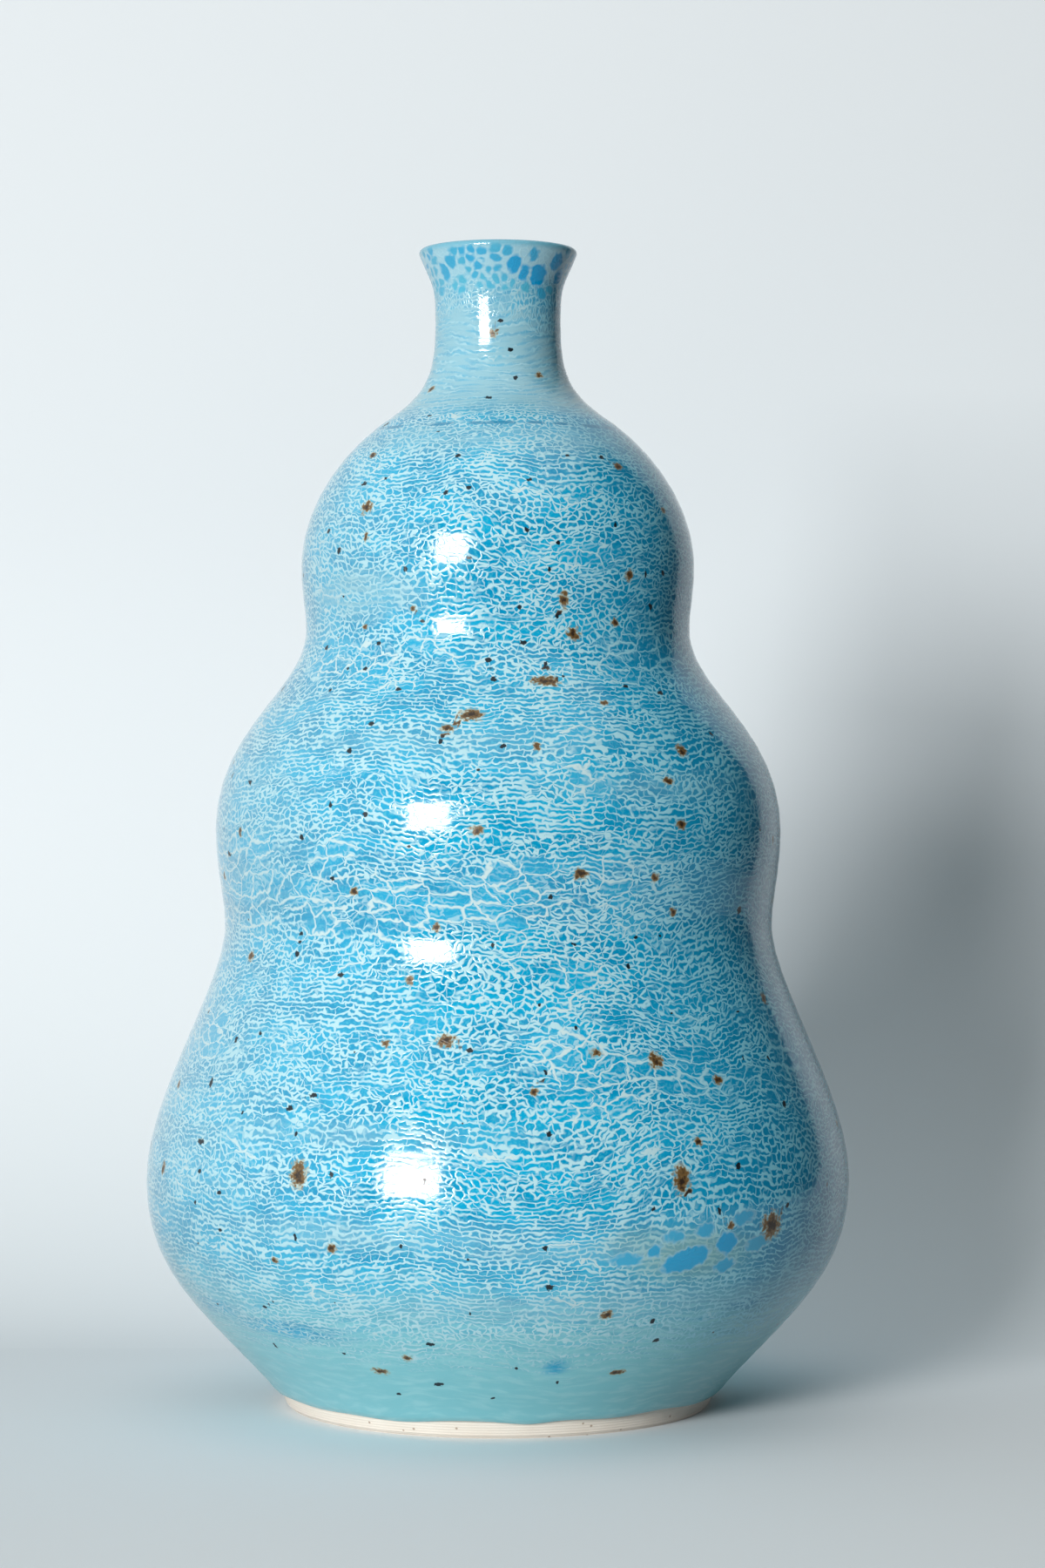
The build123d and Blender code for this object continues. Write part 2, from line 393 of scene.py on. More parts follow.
def drawZones(mesh, places, shared):
    chance = random.Random(14)
    turn, radius, height = shared["turn"], shared["radius"], shared["height"]

    def patchSum(patches):
        total = np.zeros(turn.shape)
        for angle, level, wide, tall, strength in patches:
            u = turnFrom(angle, turn) * radius / wide
            v = (height - level) / tall
            total = np.maximum(total, strength * np.exp(-0.7 * (u * u + v * v) ** 1.5))
        return total

    def allRound(kind):
        count, wide, tall = zones[kind + "Behind"]
        angles, levels, strengths = zones["behind"]
        ranges = (angles, levels, wide, tall, strengths)
        behind = [[chance.uniform(*limits) for limits in ranges] for _ in range(count)]
        return patchSum(list(zones[kind]) + behind)

    openCells = allRound("open")
    brushed = allRound("brushed")
    change = smoothStep(*zones["rowsChange"], height)
    usual = zones["rowsBelow"] + (zones["rowsAbove"] - zones["rowsBelow"]) * change
    drawn = np.maximum(usual, allRound("rows"))
    lipBeads = neck["beaded"] * smoothStep(*neck["beadedFrom"], height)
    beaded = np.maximum(patchSum(zones["beaded"]), lipBeads)
    onNeck = smoothStep(*neck["from"], height)
    bare = smoothStep(*neck["bareSide"], np.sin(turn)) * smoothStep(*neck["bareFrom"], height)
    underLip = neck["underLip"] * smoothStep(*neck["underLipFrom"], height)
    brushed = np.maximum(brushed, onNeck * (neck["brushed"] - underLip - neck["bare"] * bare))
    noRows = np.maximum(bare, smoothStep(*neck["rowsEnd"], height))
    drawn = np.maximum(drawn, onNeck * (1 - noRows))
    four = np.stack([openCells, brushed, beaded, drawn], -1)
    storeLayer(mesh, "zones", "FLOAT_COLOR", four)
    storeLayer(mesh, "blueMarks", "FLOAT", patchSum(zones["blue"]))

    # Place measured along the wall instead of up the axis, in mm, so that the crackle keeps its
    # size on slopes
    along = np.stack([places[..., 0], places[..., 1], shared["run"]], -1)
    storeLayer(mesh, "wallPlace", "FLOAT_VECTOR", along)
    storeLayer(mesh, "upPlace", "FLOAT", height)


# Iron specks that bloomed through the glaze: angle, height, half width, half height in mm
specks = {
    "brown": (
        (29, 62, 1.7, 2.9), (47, 50, 3.0, 2.6), (-6, 166, 2.4, 1.4), (12, 174, 2.9, 1.2),
        (28, 88, 1.5, 1.6), (16, 130, 1.3, 1.1), (22, 185, 1.4, 1.4), (42, 158, 1.3, 1.3),
        (-24, 17, 1.6, 0.9), (-4, 140, 1.3, 1.0), (-32, 63, 1.8, 2.7), (18, 32, 1.3, 1.0),
        (-9, 93, 1.9, 1.3), (19, 193, 0.9, 1.6), (-59, 110, 1.2, 1.0), (38, 141, 1.2, 1.0),
        (-11, 163, 1.4, 0.9), (-43, 215, 1.4, 1.4), (17, 90, 1.4, 0.8), (-17, 21, 1.0, 0.9),
        (6, 82, 0.8, 0.9), (36, 151, 1.2, 0.8), (40, 83, 1.1, 0.9), (-12, 118, 0.9, 0.9),
        (38, 51, 0.9, 0.8), (33, 70, 0.9, 0.9), (-26, 47, 1.0, 0.8), (8, 159, 0.7, 0.9),
        (32, 129, 0.9, 0.8), (-17, 106, 0.8, 0.9), (37, 121, 0.9, 0.9), (-29, 126, 0.8, 0.9),
        (-20, 92, 0.7, 0.8), (-57, 245, 1.0, 0.8), (24, 17, 1.6, 0.8), (-41, 208, 0.6, 0.9),
        (26, 169, 0.9, 0.6), (-37, 43, 0.9, 0.6), (-5, 258, 0.8, 0.9), (34, 248, 0.8, 0.7),
        (-68, 60, 1.0, 1.3), (62, 100, 0.9, 1.2), (60, 215, 0.9, 0.7), (-62, 139, 0.7, 0.9),
        (-52, 228, 1.0, 0.8), (45, 225, 1.2, 0.8), (40, 199, 1.0, 1.2), (36, 188, 0.8, 0.8),
        (-42, 187, 0.6, 0.6), (-25, 191, 0.6, 0.6),
    ),
    "black": (
        (8, 39, 1.0, 0.8), (-29, 164, 0.8, 0.7), (-5, 91, 0.8, 0.6), (40, 64, 0.8, 0.8),
        (-6, 242, 0.8, 0.6), (13, 178, 0.6, 0.8), (10, 125, 0.6, 0.8), (-12, 25, 0.9, 0.5),
        (-12, 160, 0.6, 0.6), (15, 114, 0.6, 0.7), (51, 54, 0.7, 0.6), (8, 86, 0.5, 0.7),
        (-9, 219, 0.6, 0.5), (7, 48, 0.6, 0.6), (1, 159, 0.6, 0.6), (-41, 138, 0.6, 0.7),
        (17, 206, 0.5, 0.5), (-14, 227, 0.7, 0.5), (34, 173, 0.7, 0.5), (-1, 11, 0.6, 0.5),
        (8, 73, 0.5, 0.6), (24, 56, 0.6, 0.5), (26, 109, 0.5, 0.6), (-55, 54, 0.5, 0.6),
        (-43, 31, 0.6, 0.5), (-1, 114, 0.4, 0.6), (11, 254, 0.6, 0.5), (13, 247, 0.6, 0.5),
        (2, 261, 0.6, 0.5), (-22, 11, 0.6, 0.5), (12, 15, 0.4, 0.5), (-30, 21, 0.5, 0.5),
        (39, 227, 0.8, 0.6), (25, 227, 0.6, 0.4), (-16, 218, 0.7, 0.6), (10, 221, 0.6, 0.6),
        (8, 209, 0.6, 0.6), (-52, 205, 0.7, 0.8), (-27, 200, 0.6, 0.6), (-48, 221, 0.8, 0.7),
        (-39, 222, 0.5, 0.5), (-59, 210, 0.6, 0.7), (50, 192, 0.7, 0.8), (6, 191, 0.6, 0.5),
        (17, 189, 0.6, 0.5), (7, 183, 0.7, 0.6), (-36, 183, 0.6, 0.5), (-22, 188, 0.6, 0.5),
        (-38, 177, 0.6, 0.5), (-47, 172, 0.6, 0.5),
    ),
    # scattered behind, at the edges and in front: how many, first and last angle, brown or not
    "scattered": ((46, 70, 290, 1.0), (60, 66, 294, 0.0), (72, -66, 66, 0.0)),
    "heights": (8, 250),
    "brownSize": (-0.1, 0.42, 2.4),  # log of the usual half size in mm, its spread, the largest
    "blackSize": (-0.6, 0.35, 0.95),
    "squash": (0.75, 1.35),
    "spare": 3.5,  # mm kept clear between two specks
    "far": 9.0,  # what a vertex with no speck near it gets
}


def scatterSpecks(mesh, shared):
    chance = random.Random(5)
    chosen = [(*speck, 1.0) for speck in specks["brown"]]
    chosen += [(*speck, 0.0) for speck in specks["black"]]
    widest = pot["stations"][1][0]

    def placeOf(angle, level):
        r, a = onOutline(runOfHeight(level))[0], math.radians(angle)
        return np.array([r * math.sin(a), -r * math.cos(a), level])

    held = [placeOf(speck[0], speck[1]) for speck in chosen]

    def scatter(count, low, high, brown):
        usual, spread, most = specks["brownSize" if brown else "blackSize"]
        made = 0
        while made < count:
            angle, level = chance.uniform(low, high), chance.uniform(*specks["heights"])
            if chance.random() > onOutline(runOfHeight(level))[0] / widest:
                continue  # as many to each square mm on the neck as on the belly
            size = min(chance.lognormvariate(usual, spread), most)
            squash = chance.uniform(*specks["squash"])
            at = placeOf(angle, level)
            if min(np.linalg.norm(at - other) for other in held) < specks["spare"] + 2 * size:
                continue
            held.append(at)
            chosen.append((angle, level, size * squash, size / squash, brown))
            made += 1

    for group in specks["scattered"]:
        scatter(*group)

    # Each vertex keeps its way to the nearest speck in units of that speck's size, so that a speck
    # is drawn sharp between vertices
    turn, run, radius = shared["turn"], shared["run"], shared["radius"]
    best = np.full(turn.shape, specks["far"])
    way = np.zeros(turn.shape + (3,))
    way[..., 0] = specks["far"]
    for angle, level, wide, tall, brown in chosen:
        u = turnFrom(angle, turn) * radius
        v = run - runOfHeight(level)
        near = np.hypot(u, v) - max(wide, tall)
        mine = near < best
        best[mine] = near[mine]
        way[mine] = np.stack([u / wide, v / tall, np.full(turn.shape, brown)], -1)[mine]
    storeLayer(mesh, "speckWay", "FLOAT_VECTOR", way)
    storeLayer(mesh, "speckGap", "FLOAT", best)


# Beads, where the blue drew together into drops: angle, height, half width, half height in mm, tilt
# and depth
beads = {
    "lip": (
        (36, 272.2, 2.3, 2.8, 0, 1.0), (13, 274.2, 1.6, 2.4, 0, 0.9), (22, 272.5, 1.3, 2.1, 0, 0.9),
        (28, 276.8, 1.4, 1.7, 0, 0.6), (52, 275.6, 2.1, 2.3, 0, 0.9), (62, 272.4, 1.9, 1.9, 0, 0.8),
        (43, 268.0, 1.5, 1.6, 0, 0.5), (-40, 275.2, 1.7, 1.6, 0, 0.5),
        (-49, 273.2, 1.5, 2.2, 0, 0.5),
    ),
    "belly": (
        (30, 44.1, 6.2, 2.6, 14, 0.8), (37.4, 47.2, 3.0, 2.4, 0, 0.9),
        (33.2, 50.4, 2.4, 1.6, 0, 0.6), (37.6, 42.0, 2.8, 1.7, 10, 0.6),
        (44, 46.2, 3.6, 1.7, 5, 0.5), (19.8, 44.8, 3.4, 1.4, 0, 0.5),
        (24.3, 46.3, 1.5, 1.5, 0, 0.7), (27.5, 49.4, 2.5, 1.3, 0, 0.5),
        (40.5, 52.4, 3.2, 1.6, 8, 0.6),
    ),
    "lipRows": (277.4, 275.4, 273.4, 271.4, 269.4),  # heights of the smaller ones that fill the lip
    "lipGap": 2.5,  # mm between them
    "lipStray": (0.35, 0.7),  # share of that gap sideways, mm up and down
    "lipSizes": ((0.9, 1.6), (0.9, 1.4)),  # half widths and half heights
    "lipDepth": (0.1, 0.75),
    "lipPale": (272.0, 0.35),  # those below this height are paler
    "lipRoom": 1.7,  # kept clear round the larger ones, in their half sizes
    "lipShare": 0.95,  # of the places left that are filled
    "lipTilt": 40,
    "thread": 0.5,  # mm, pale thread between two beads that touch
    "far": 9.0,  # what a vertex with no bead near it gets
}


def gatherBeads(mesh, shared):
    chance = random.Random(8)
    chosen = list(beads["lip"] + beads["belly"])
    aside, lift = beads["lipStray"]
    paleBelow, pale = beads["lipPale"]
    for level in beads["lipRows"]:
        r = onOutline(runOfHeight(level))[0]
        count = round(2 * math.pi * r / beads["lipGap"])
        for k in range(count):
            angle = 360 * (k + chance.uniform(-aside, aside)) / count - 180
            at = level + chance.uniform(-lift, lift)
            wide, tall = [chance.uniform(*limits) for limits in beads["lipSizes"]]
            depth = chance.uniform(*beads["lipDepth"]) * (1.0 if at > paleBelow else pale)
            taken = any(
                math.hypot(math.radians(angle - a) * r / w, (at - z) / t) < beads["lipRoom"]
                for a, z, w, t, _, _ in beads["lip"]
            )
            if not taken and chance.random() < beads["lipShare"]:
                tilt = chance.uniform(-beads["lipTilt"], beads["lipTilt"])
                chosen.append((angle, at, wide, tall, tilt, depth))

    # Each vertex keeps how far outside the nearest bead it is, in mm, and how deep that bead is. A
    # thread parts beads that touch.
    turn, run, radius = shared["turn"], shared["run"], shared["radius"]
    first = np.full(turn.shape, beads["far"])
    second = first.copy()
    deep = np.zeros(turn.shape)
    for angle, level, wide, tall, tilt, depth in chosen:
        x, y = turnFrom(angle, turn) * radius, run - runOfHeight(level)
        c, s = math.cos(math.radians(tilt)), math.sin(math.radians(tilt))
        gap = (np.hypot((x * c + y * s) / wide, (y * c - x * s) / tall) - 1) * min(wide, tall)
        mine = gap < first
        second = np.where(mine, first, np.minimum(second, gap))
        first[mine] = gap[mine]
        deep[mine] = depth
    parted = np.maximum(first, beads["thread"] - (second - first))
    storeLayer(mesh, "beads", "FLOAT_VECTOR", np.stack([parted, deep, 0 * deep], -1))


glazeCoat = buildGlaze()
print("glaze coat built:", len(glazeCoat.data.polygons), "faces")


# Crackle glaze: a pale coat that shrank over a blue one in the kiln and tore into a net, brushed
# and dipped by hand over a plain teal base. To the eye: cream threads of a few widths round
# cerulean cells, pulled out sideways into wavy rows, under a wet gloss that the relief of the net
# breaks up.
crackle = {
    "cell": "#0ba2cf",
    "cellDeep": "#028cba",
    "cellPale": "#45b5d0",
    "thread": "#b0d8e3",
    # the next two are painted shade: the darker, bluer thread and cell tones of the side away from
    # the softbox
    "paintedShadeThread": "#76cce6",
    "paintedShadeCell": "#0286b4",
    "openThread": "#c3dade",
    "brush": "#8ebdcd",
    "base": "#81c8d3",
    "basePale": "#ace0e6",
    "bead": "#0098d0",
    "beadPale": "#52b0cb",
    "lipGround": "#a2cddc",
    "lipEdge": "#5aa6c0",
    "bellyGround": "#7ca9a8",
    "seam": "#1d7fa8",
    "rust": "#6f5632",
    "rustCore": "#2c2118",
    "rustHalo": "#a3936a",
    "black": "#0d1c25",
    "openCell": (6.4, 3.7),  # mm wide and tall
    "fineCell": (2.05, 1.4),
    "rowCell": (2.3, 1.3),
    "openWidth": 0.54,  # mm
    "fineWidth": 0.46,  # these two are about a pixel of the render, wider than the finest real ones
    "rowWidth": 0.47,
    "widthSpread": (0.45, 1.45),
    "openUpright": 0.85,  # width of upright threads beside level ones
    "fineUpright": 0.75,
    "fewerLinks": (236.0, 246.0, 0.3),  # heights where the rows lose their links, and what is left
    "girth": (84.0, 44.0),  # mm, radius that the crackle is laid out for, at the two runs below
    "girthRun": (60.0, 240.0),
    "meeting": (0.15, 0.25),  # angle past the back where the lay-out's ends meet, its wandering
    "sweepSize": 46.0,  # mm, how long the brush sweeps are, and how far they bend the crackle
    "sweepBend": (0, 17, 0),
    "dryingSize": 5.0,  # same for uneven drying
    "dryingBend": (2.6, 2.0, 0),
    "tearSize": 1.3,  # same for the grain of the tear
    "tearBend": (1.5, 1.15, 0),
    "sandSize": 0.7,  # mm, grain within the cells
    "patchSize": (17.0, 8.0),  # mm wide and tall
    "streakSize": (16.0, 0.9),
    "streakReach": 22.0,  # mm that the streaks move the lower edge of the crackle
    "mottleSize": (11.0, 1.8),
    "relief": 0.023,  # mm
    "paintedShadeSide": 1.45,  # angle round the pot of the side away from the softbox, which is painted darker and bluer as painted shade
    "crackleLine": 22.0,  # mm above the table, where the crackle coat ends in brushed streaks
    "seamLine": 235.4,  # mm above the table, where the glaze sank into the joint of the neck
    "seamHalf": 0.38,  # mm, half its width
    "seamWander": 2.0,
    "groundChange": (100.0, 200.0),  # mm above the table, between belly and lip beads
    "edgeChange": (277.8, 279.4),  # same, where the lip turns to the colour of its edge
    "gloss": 0.08,
    "satin": 0.24,
}


def crackleGlaze():
    material, tree = newMaterial("crackleGlaze")
    tint = {name: linearColour(value) for name, value in crackle.items() if isinstance(value, str)}
    place = addNode(tree, "Attribute", {"attribute_name": "wallPlace"}, out="Vector")
    up = addNode(tree, "Attribute", {"attribute_name": "upPlace"}, out="Fac")
    zone = addNode(tree, "Attribute", {"attribute_name": "zones"})
    openZone = addNode(tree, "SeparateColor", {}, [zone])
    brushedZone, beadedZone = openZone.node.outputs[1:3]
    rowZone = zone.node.outputs["Alpha"]

    # The wall laid out flat, in mm round the pot and along its outline. The pot narrows about
    # evenly upwards, and so does the lay-out. Behind the pot its two ends meet in a wandering line.
    spread = {"Vector": place, "Scale": 1 / crackle["sweepSize"], "Detail": 1.0}
    sweep = addNode(tree, "TexNoise", {}, spread)
    spread = {"Vector": place, "Scale": 1 / crackle["dryingSize"], "Detail": 0.0}
    drying = addNode(tree, "TexNoise", {}, spread, "Color")
    dryingX = addNode(tree, "SeparateXYZ", {}, [drying])
    x = addNode(tree, "SeparateXYZ", {}, [place])
    y, run = x.node.outputs[1:3]
    y = addNode(tree, "Math", times, [y, -1.0])
    turn = addNode(tree, "Math", {"operation": "ARCTAN2"}, [x, y])
    past, wander = crackle["meeting"]
    ends = addNode(tree, "Math", timesPlus, [dryingX, wander, past - math.pi])
    behind = addNode(tree, "Math", {"operation": "LESS_THAN"}, [turn, ends])
    turn = addNode(tree, "Math", timesPlus, [behind, 2 * math.pi, turn])
    (low, high), (wide, slim) = crackle["girthRun"], crackle["girth"]
    girth = addNode(tree, "MapRange", {"clamp": False}, [run, low, high, wide, slim])
    around = addNode(tree, "Math", times, [turn, girth])
    laidOut = addNode(tree, "CombineXYZ", {}, [around, run])

    # It is bent at three scales: brush sweeps, uneven drying, and the grain of the tear
    swept = addNode(tree, "VectorMath", timesPlus, [sweep, crackle["sweepBend"], laidOut])
    dried = addNode(tree, "VectorMath", timesPlus, [drying, crackle["dryingBend"], swept])
    spread = {"Vector": place, "Scale": 1 / crackle["tearSize"], "Detail": 0.0}
    tear = addNode(tree, "TexNoise", {}, spread, "Color")
    bent = addNode(tree, "VectorMath", timesPlus, [tear, crackle["tearBend"], dried])

    bandEnds = (0.3, 1.5, 1.0, 0.0)  # a thread across, in half widths

    def inCells(at, size):
        # A flat place counted in cells of that size
        return addNode(tree, "VectorMath", times, [at, (1 / size[0], 1 / size[1], 0)])

    def threads(kind):
        # Threads run where two cells meet. Each has a width of its own, in mm across the wall, and
        # upright ones are thinner than level ones.
        at = inCells(bent, crackle[kind + "Cell"])
        pick = {"Vector": at, "Scale": 1.0, "Randomness": 1.0}
        flat = {"voronoi_dimensions": "2D"}
        mine = addNode(tree, "TexVoronoi", {**flat, "feature": "F1"}, pick, "Position")
        other = addNode(tree, "TexVoronoi", {**flat, "feature": "F2"}, pick, "Position")
        across = addNode(tree, "VectorMath", minus, [other, mine])
        middle = addNode(tree, "VectorMath", timesPlus, [across, (0.5, 0.5, 0.5), mine])
        away = addNode(tree, "VectorMath", minus, [middle, at])
        facing = addNode(tree, "VectorMath", {"operation": "NORMALIZE"}, [across])
        cells = addNode(tree, "VectorMath", dot, [away, facing], "Value")
        steep = inCells(facing, crackle[kind + "Cell"])
        slope = addNode(tree, "VectorMath", length, [steep], "Value")
        gap = addNode(tree, "Math", over, [cells, slope])

        rise = addNode(tree, "SeparateXYZ", {}, [steep], 1)
        level = addNode(tree, "Math", over, [rise, slope])
        level = addNode(tree, "Math", {"operation": "ABSOLUTE"}, [level])
        tones = [mine.node.outputs["Color"], other.node.outputs["Color"]]
        luck = addNode(tree, "VectorMath", {"operation": "ADD"}, tones)
        luck = addNode(tree, "SeparateXYZ", {}, [luck])
        luck = addNode(tree, "Math", {"operation": "PINGPONG"}, [luck, 1.0])
        upright = crackle[kind + "Upright"]
        lean = addNode(tree, "MapRange", {}, [level, 0.0, 1.0, upright, 1.0])
        thin, thick = crackle["widthSpread"]
        size = addNode(tree, "MapRange", {}, [luck, 0.0, 1.0, thin, thick])
        half = addNode(tree, "Math", times, [size, lean])
        half = addNode(tree, "Math", times, [half, 0.5 * crackle[kind + "Width"]])
        share = addNode(tree, "Math", over, [gap, half])
        return share, luck

    def rows():
        # Long level threads with short links between them, set off at random from row to row
        at = inCells(bent, crackle["rowCell"])
        x = addNode(tree, "SeparateXYZ", {}, [at])
        y = x.node.outputs[1]
        row = addNode(tree, "Math", {"operation": "FLOOR"}, [y])
        shift = addNode(tree, "TexWhiteNoise", {"noise_dimensions": "1D"}, {"W": row})
        x = addNode(tree, "Math", timesPlus, [shift, 9.0, x])
        link = addNode(tree, "Math", {"operation": "ROUND"}, [x])
        link = addNode(tree, "CombineXYZ", {}, [link, row])
        luck = addNode(tree, "TexWhiteNoise", flatNoise, {"Vector": link})
        linked = addNode(tree, "MapRange", {}, [luck, 0.25, 0.6, 0.0, 0.95])
        half = addNode(tree, "Math", times, [dryingX, crackle["rowWidth"]])
        masks = []
        for along, size in zip((x, y), crackle["rowCell"]):
            gap = addNode(tree, "Math", {"operation": "PINGPONG"}, [along, 0.5])
            gap = addNode(tree, "Math", times, [gap, size])
            share = addNode(tree, "Math", over, [gap, half])
            masks.append(addNode(tree, "MapRange", soft, [share, *bandEnds]))
        low, high, left = crackle["fewerLinks"]
        fewer = addNode(tree, "MapRange", {}, [up, low, high, 1.0, left])
        linked = addNode(tree, "Math", times, [linked, fewer])
        links = addNode(tree, "Math", times, [masks[0], linked])
        return addNode(tree, "Math", larger, [links, masks[1]])

    opened, openLuck = threads("open")
    fine, fineLuck = threads("fine")
    fine = addNode(tree, "MapRange", soft, [fine, *bandEnds])
    inRows = rows()

    # Open zones keep larger cells and lose the fine ones; a few more such patches turn up by chance
    patchAt = inCells(dried, crackle["patchSize"])
    spread = {"Vector": patchAt, "Scale": 1.0, "Detail": 1.0}
    patchy = addNode(tree, "TexNoise", flatNoise, spread, "Color")
    patch = addNode(tree, "SeparateXYZ", {}, [patchy])
    patchTwo, patchThree = patch.node.outputs[1:3]
    rowShare = addNode(tree, "Math", minus, [rowZone, patch])
    rowShare = addNode(tree, "MapRange", soft, [rowShare, -0.06, 0.06])
    fine = addNode(tree, "Mix", {"data_type": "FLOAT"}, {0: rowShare, 2: fine, 3: inRows})
    opening = addNode(tree, "Math", timesPlus, [patchThree, 1.9, openZone])
    opening = addNode(tree, "MapRange", soft, [opening, 1.22, 1.65])
    some = addNode(tree, "Math", timesPlus, [openLuck, 0.42, opening])
    some = addNode(tree, "MapRange", soft, [some, 0.34, 0.66])
    opened = addNode(tree, "Math", over, [opened, some])  # they end in points
    opened = addNode(tree, "MapRange", soft, [opened, *bandEnds])
    whole = addNode(tree, "MapRange", soft, [some, 0.0, 0.25])
    opened = addNode(tree, "Math", times, [opened, whole])
    present = addNode(tree, "MapRange", soft, [patchTwo, 0.34, 0.64, 0.62, 1.0])
    clear = addNode(tree, "MapRange", soft, [opening, 0.1, 0.9, 1.0, 0.12])
    split = addNode(tree, "Math", {"operation": "GREATER_THAN"}, [fineLuck, 0.52])
    clear = addNode(tree, "Math", timesPlus, [split, 0.62, clear])
    present = addNode(tree, "Math", times, [present, clear])
    fine = addNode(tree, "Math", times, [fine, present])
    wholeNet = addNode(tree, "Math", larger, [opened, fine])

    # The crackle coat thins out in level streaks towards its lower edge
    streakAt = inCells(swept, crackle["streakSize"])
    streak = addNode(tree, "TexNoise", flatNoise, {"Vector": streakAt, "Scale": 1.0, "Detail": 2.0})
    ragged = addNode(tree, "Math", timesPlus, [streak, crackle["streakReach"], up])
    line = crackle["crackleLine"] + 0.5 * crackle["streakReach"]
    laid = addNode(tree, "MapRange", soft, [ragged, line - 6.0, line + 8.0])
    net = addNode(tree, "Math", times, [wholeNet, laid])

    # Cells: blue that pools deeper in some and thins in others, greener towards the teal base.
    # Cells and threads on the side away from the softbox are painted darker and bluer: painted
    # shade.
    aside = addNode(tree, "Math", minus, [turn, crackle["paintedShadeSide"]])
    aside = addNode(tree, "Math", {"operation": "COSINE"}, [aside])
    paintedShadeSide = addNode(tree, "MapRange", soft, [aside, 0.3, 0.94, 0.0, 0.85])
    pool = addNode(tree, "MapRange", soft, [patchThree, 0.34, 0.66])
    blue = addNode(tree, "Mix", rgba, {0: pool, 6: tint["cellDeep"], 7: tint["cell"]}, 2)
    spread = {"Vector": place, "Scale": 1 / crackle["sandSize"], "Detail": 1.0}
    sand = addNode(tree, "TexNoise", {}, spread)
    grain = addNode(tree, "MapRange", soft, [sand, 0.46, 0.78, 0.0, 0.7])
    blue = addNode(tree, "Mix", rgba, {0: grain, 6: blue, 7: tint["cellPale"]}, 2)
    # painted shade: cells turn darker towards the side away from the softbox
    blue = addNode(tree, "Mix", rgba, {0: paintedShadeSide, 6: blue, 7: tint["paintedShadeCell"]}, 2)
    mottleAt = inCells(dried, crackle["mottleSize"])
    mottle = addNode(tree, "TexNoise", flatNoise, {"Vector": mottleAt, "Scale": 1.0, "Detail": 3.0})
    mottle = addNode(tree, "MapRange", soft, [mottle, 0.4, 0.75, 0.0, 0.38])
    teal = addNode(tree, "Mix", rgba, {0: mottle, 6: tint["base"], 7: tint["basePale"]}, 2)
    blueing = addNode(tree, "MapRange", soft, [ragged, line - 5.0, line + 26.0])
    marked = addNode(tree, "Attribute", {"attribute_name": "blueMarks"}, out="Fac")
    dry = addNode(tree, "MapRange", soft, [streak, 0.24, 0.48])
    marked = addNode(tree, "Math", times, [marked, dry])
    blueing = addNode(tree, "Math", larger, [blueing, marked])
    ground = addNode(tree, "Mix", rgba, {0: blueing, 6: teal, 7: blue}, 2)
    pale = addNode(tree, "Mix", rgba, {0: opened, 6: tint["thread"], 7: tint["openThread"]}, 2)
    # painted shade: threads turn darker and bluer towards the side away from the softbox
    pale = addNode(tree, "Mix", rgba, {0: paintedShadeSide, 6: pale, 7: tint["paintedShadeThread"]}, 2)
    netted = addNode(tree, "Mix", rgba, {0: net, 6: ground, 7: pale}, 2)

    # Brushed places: the pale coat smeared in level streaks over the net
    smear = addNode(tree, "MapRange", soft, [streak, 0.3, 0.7, 0.45, 0.92])
    smear = addNode(tree, "Math", times, [smear, brushedZone])
    brushed = addNode(tree, "Mix", rgba, {0: smear, 6: netted, 7: tint["brush"]}, 2)

    # Joint of the neck: a fine broken line where the glaze sank in
    wander = crackle["seamWander"]
    sunk = addNode(tree, "Math", timesPlus, [sweep, wander, up])
    sunk = [sunk, crackle["seamLine"] + 0.5 * wander, crackle["seamHalf"]]
    sunk = addNode(tree, "Math", {"operation": "COMPARE"}, sunk)
    broken = addNode(tree, "MapRange", soft, [drying, 0.42, 0.56, 0.0, 0.8])
    sunk = addNode(tree, "Math", times, [sunk, broken])
    jointed = addNode(tree, "Mix", rgba, {0: sunk, 6: brushed, 7: tint["seam"]}, 2)

    # Lip and one patch of the belly: the blue gathers into beads with pale rims, on a thin ground
    low, high = crackle["groundChange"]
    height = addNode(tree, "MapRange", {}, [up, low, high])
    thin = addNode(tree, "Mix", rgba, {0: height, 6: tint["bellyGround"], 7: tint["lipGround"]}, 2)
    thinned = addNode(tree, "Mix", rgba, {0: beadedZone, 6: jointed, 7: thin}, 2)
    gap = addNode(tree, "Attribute", {"attribute_name": "beads"}, out="Vector")
    gap = addNode(tree, "SeparateXYZ", {}, [gap])
    depth = gap.node.outputs[1]
    gap = addNode(tree, "Math", timesPlus, [tear, 1.6, gap])
    rim = addNode(tree, "MapRange", soft, [gap, 0.85, 1.4, 0.55, 0.0])
    rimmed = addNode(tree, "Mix", rgba, {0: rim, 6: thinned, 7: tint["lipGround"]}, 2)
    drop = addNode(tree, "Mix", rgba, {0: depth, 6: tint["beadPale"], 7: tint["bead"]}, 2)
    bead = addNode(tree, "MapRange", soft, [gap, 0.4, 1.2, 1.0, 0.0])
    beaded = addNode(tree, "Mix", rgba, {0: bead, 6: rimmed, 7: drop}, 2)
    low, high = crackle["edgeChange"]
    crest = addNode(tree, "MapRange", soft, [up, low, high, 0.0, 0.8])
    beaded = addNode(tree, "Mix", rgba, {0: crest, 6: beaded, 7: tint["lipEdge"]}, 2)

